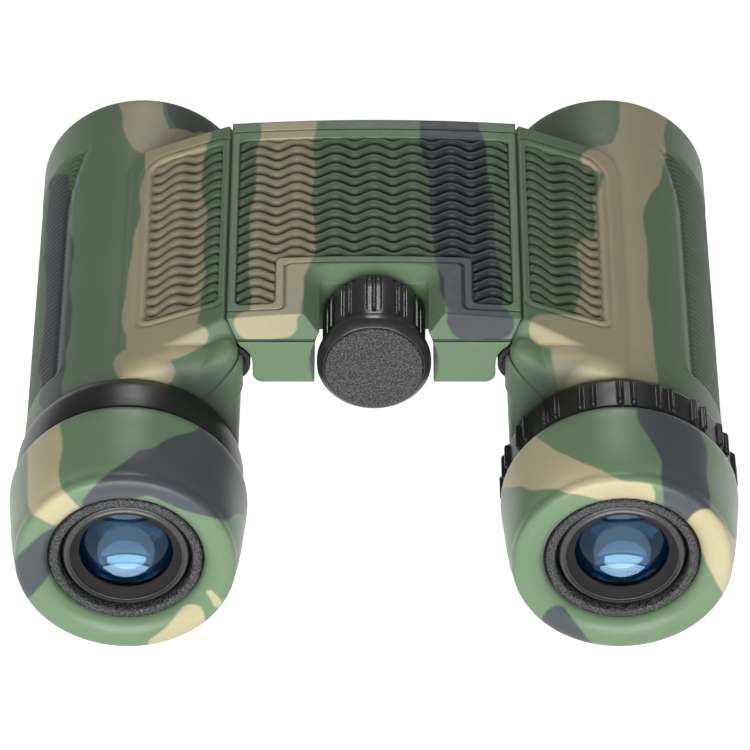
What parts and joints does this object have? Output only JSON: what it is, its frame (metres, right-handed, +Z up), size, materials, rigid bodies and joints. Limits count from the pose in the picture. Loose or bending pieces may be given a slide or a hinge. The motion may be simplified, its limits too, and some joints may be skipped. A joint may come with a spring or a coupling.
{
  "type": "binoculars",
  "caption": "Compact double-hinge binoculars in camouflage rubber, lying open, with a black focusing knob and twist-up eyecups.",
  "frame": {"origin": "on the resting surface, under the middle of the object's box", "axes": "+Z up, +Y out of the objectives, +X to the user's right"},
  "size_m": [0.1102, 0.0972, 0.0427],
  "materials": {
    "camouflage_rubber": "satin woodland camouflage",
    "black_plastic": "satin, finely textured",
    "housing_plastic": "matte",
    "alloy": "machined",
    "blackened_steel": "blackened",
    "steel": "ground",
    "bronze": "sintered",
    "coated_glass": "coated, polished",
    "prism_glass": "polished"
  },
  "bodies": {
    "bridge": {"bridge_shell": "camouflage_rubber", "bridge_grip": "camouflage_rubber", "bridge_frame": "alloy", "bridge_bottom_cover": "black_plastic", "bridge_screws": "blackened_steel", "focus_bush": "bronze", "left_rear_hinge_tube": "blackened_steel", "left_front_hinge_tube": "blackened_steel", "right_rear_hinge_tube": "blackened_steel", "right_front_hinge_tube": "blackened_steel"},
    "focusing_drive": {"focus_knob": "black_plastic", "focus_knob_cap": "black_plastic", "focus_spindle": "steel"},
    "focusing_carriage": {"focus_carriage": "alloy", "left_focus_rod": "steel", "right_focus_rod": "steel"},
    "left_barrel": {"left_barrel_armor": "camouflage_rubber", "left_barrel_housing": "housing_plastic", "left_wing_grip": "camouflage_rubber", "left_side_grip": "camouflage_rubber", "left_eyepiece_tube": "housing_plastic", "left_eyepiece_bezel": "black_plastic", "left_prism_cage": "housing_plastic", "left_roof_prism": "prism_glass", "left_half_prism": "prism_glass", "left_objective_cell": "black_plastic", "left_objective_lens": "coated_glass", "left_eyepiece_collar": "black_plastic", "left_ocular_cell": "alloy", "left_eye_lens": "coated_glass", "left_field_lens": "coated_glass"},
    "right_barrel": {"right_barrel_armor": "camouflage_rubber", "right_barrel_housing": "housing_plastic", "right_wing_grip": "camouflage_rubber", "right_side_grip": "camouflage_rubber", "right_eyepiece_tube": "housing_plastic", "right_eyepiece_bezel": "black_plastic", "right_prism_cage": "housing_plastic", "right_roof_prism": "prism_glass", "right_half_prism": "prism_glass", "right_objective_cell": "black_plastic", "right_objective_lens": "coated_glass"},
    "left_focusing": {"left_focusing_cell": "alloy", "left_focusing_lens": "coated_glass"},
    "right_focusing": {"right_focusing_cell": "alloy", "right_focusing_lens": "coated_glass"},
    "diopter": {"diopter_ring": "black_plastic"},
    "right_ocular": {"right_ocular_cell": "alloy", "right_eye_lens": "coated_glass", "right_field_lens": "coated_glass"},
    "left_eyecup_slide": {"left_eyecup_guide": "black_plastic"},
    "left_eyecup_turn": {"left_eyecup": "camouflage_rubber", "left_eyecup_sleeve": "black_plastic"},
    "right_eyecup_slide": {"right_eyecup_guide": "black_plastic"},
    "right_eyecup_turn": {"right_eyecup": "camouflage_rubber", "right_eyecup_sleeve": "black_plastic"}
  },
  "joints": [
    {"name": "left_barrel_hinge", "type": "hinge", "parent": "bridge", "child": "left_barrel", "pos_m": [-0.0221, 0, 0.0341], "axis": [0, -1, 0], "range_deg": [0, 52]},
    {"name": "right_barrel_hinge", "type": "hinge", "parent": "bridge", "child": "right_barrel", "pos_m": [0.0221, 0, 0.0341], "axis": [0, 1, 0], "range_deg": [0, 52]},
    {"name": "focus_knob_turn", "type": "hinge", "parent": "bridge", "child": "focusing_drive", "pos_m": [0, -0.0216, 0.0341], "axis": [0, 1, 0], "range_deg": [-180, 180]},
    {"name": "focus_carriage_travel", "type": "slide", "parent": "bridge", "child": "focusing_carriage", "axis": [0, 1, 0], "range_m": [-0.0025, 0.0025]},
    {"name": "left_focusing_travel", "type": "slide", "parent": "left_barrel", "child": "left_focusing", "axis": [0, 1, 0], "range_m": [-0.0025, 0.0025]},
    {"name": "right_focusing_travel", "type": "slide", "parent": "right_barrel", "child": "right_focusing", "axis": [0, 1, 0], "range_m": [-0.0025, 0.0025]},
    {"name": "diopter_turn", "type": "hinge", "parent": "right_barrel", "child": "diopter", "pos_m": [0.037, -0.0286, 0.0181], "axis": [0, 1, 0], "range_deg": [-40, 40]},
    {"name": "right_ocular_travel", "type": "slide", "parent": "right_barrel", "child": "right_ocular", "axis": [0, 1, 0], "range_m": [-0.0008, 0.0008]},
    {"name": "left_eyecup_rise", "type": "slide", "parent": "left_barrel", "child": "left_eyecup_slide", "axis": [0, -1, 0], "range_m": [0, 0.007]},
    {"name": "left_eyecup_twist", "type": "hinge", "parent": "left_eyecup_slide", "child": "left_eyecup_turn", "pos_m": [-0.037, -0.0406, 0.0181], "axis": [0, -1, 0], "range_deg": [0, 120]},
    {"name": "right_eyecup_rise", "type": "slide", "parent": "right_barrel", "child": "right_eyecup_slide", "axis": [0, -1, 0], "range_m": [0, 0.007]},
    {"name": "right_eyecup_twist", "type": "hinge", "parent": "right_eyecup_slide", "child": "right_eyecup_turn", "pos_m": [0.037, -0.0406, 0.0181], "axis": [0, -1, 0], "range_deg": [0, 120]}
  ],
  "couplings": [
    {"joint": "focus_carriage_travel", "follows": "focus_knob_turn", "m_per_rad": 0.00079},
    {"joint": "left_focusing_travel", "follows": "focus_knob_turn", "m_per_rad": 0.00079},
    {"joint": "right_focusing_travel", "follows": "focus_knob_turn", "m_per_rad": 0.00079},
    {"joint": "right_ocular_travel", "follows": "diopter_turn", "m_per_rad": 0.00114},
    {"joint": "left_eyecup_rise", "follows": "left_eyecup_twist", "m_per_rad": 0.00334},
    {"joint": "right_eyecup_rise", "follows": "right_eyecup_twist", "m_per_rad": 0.00334}
  ]
}
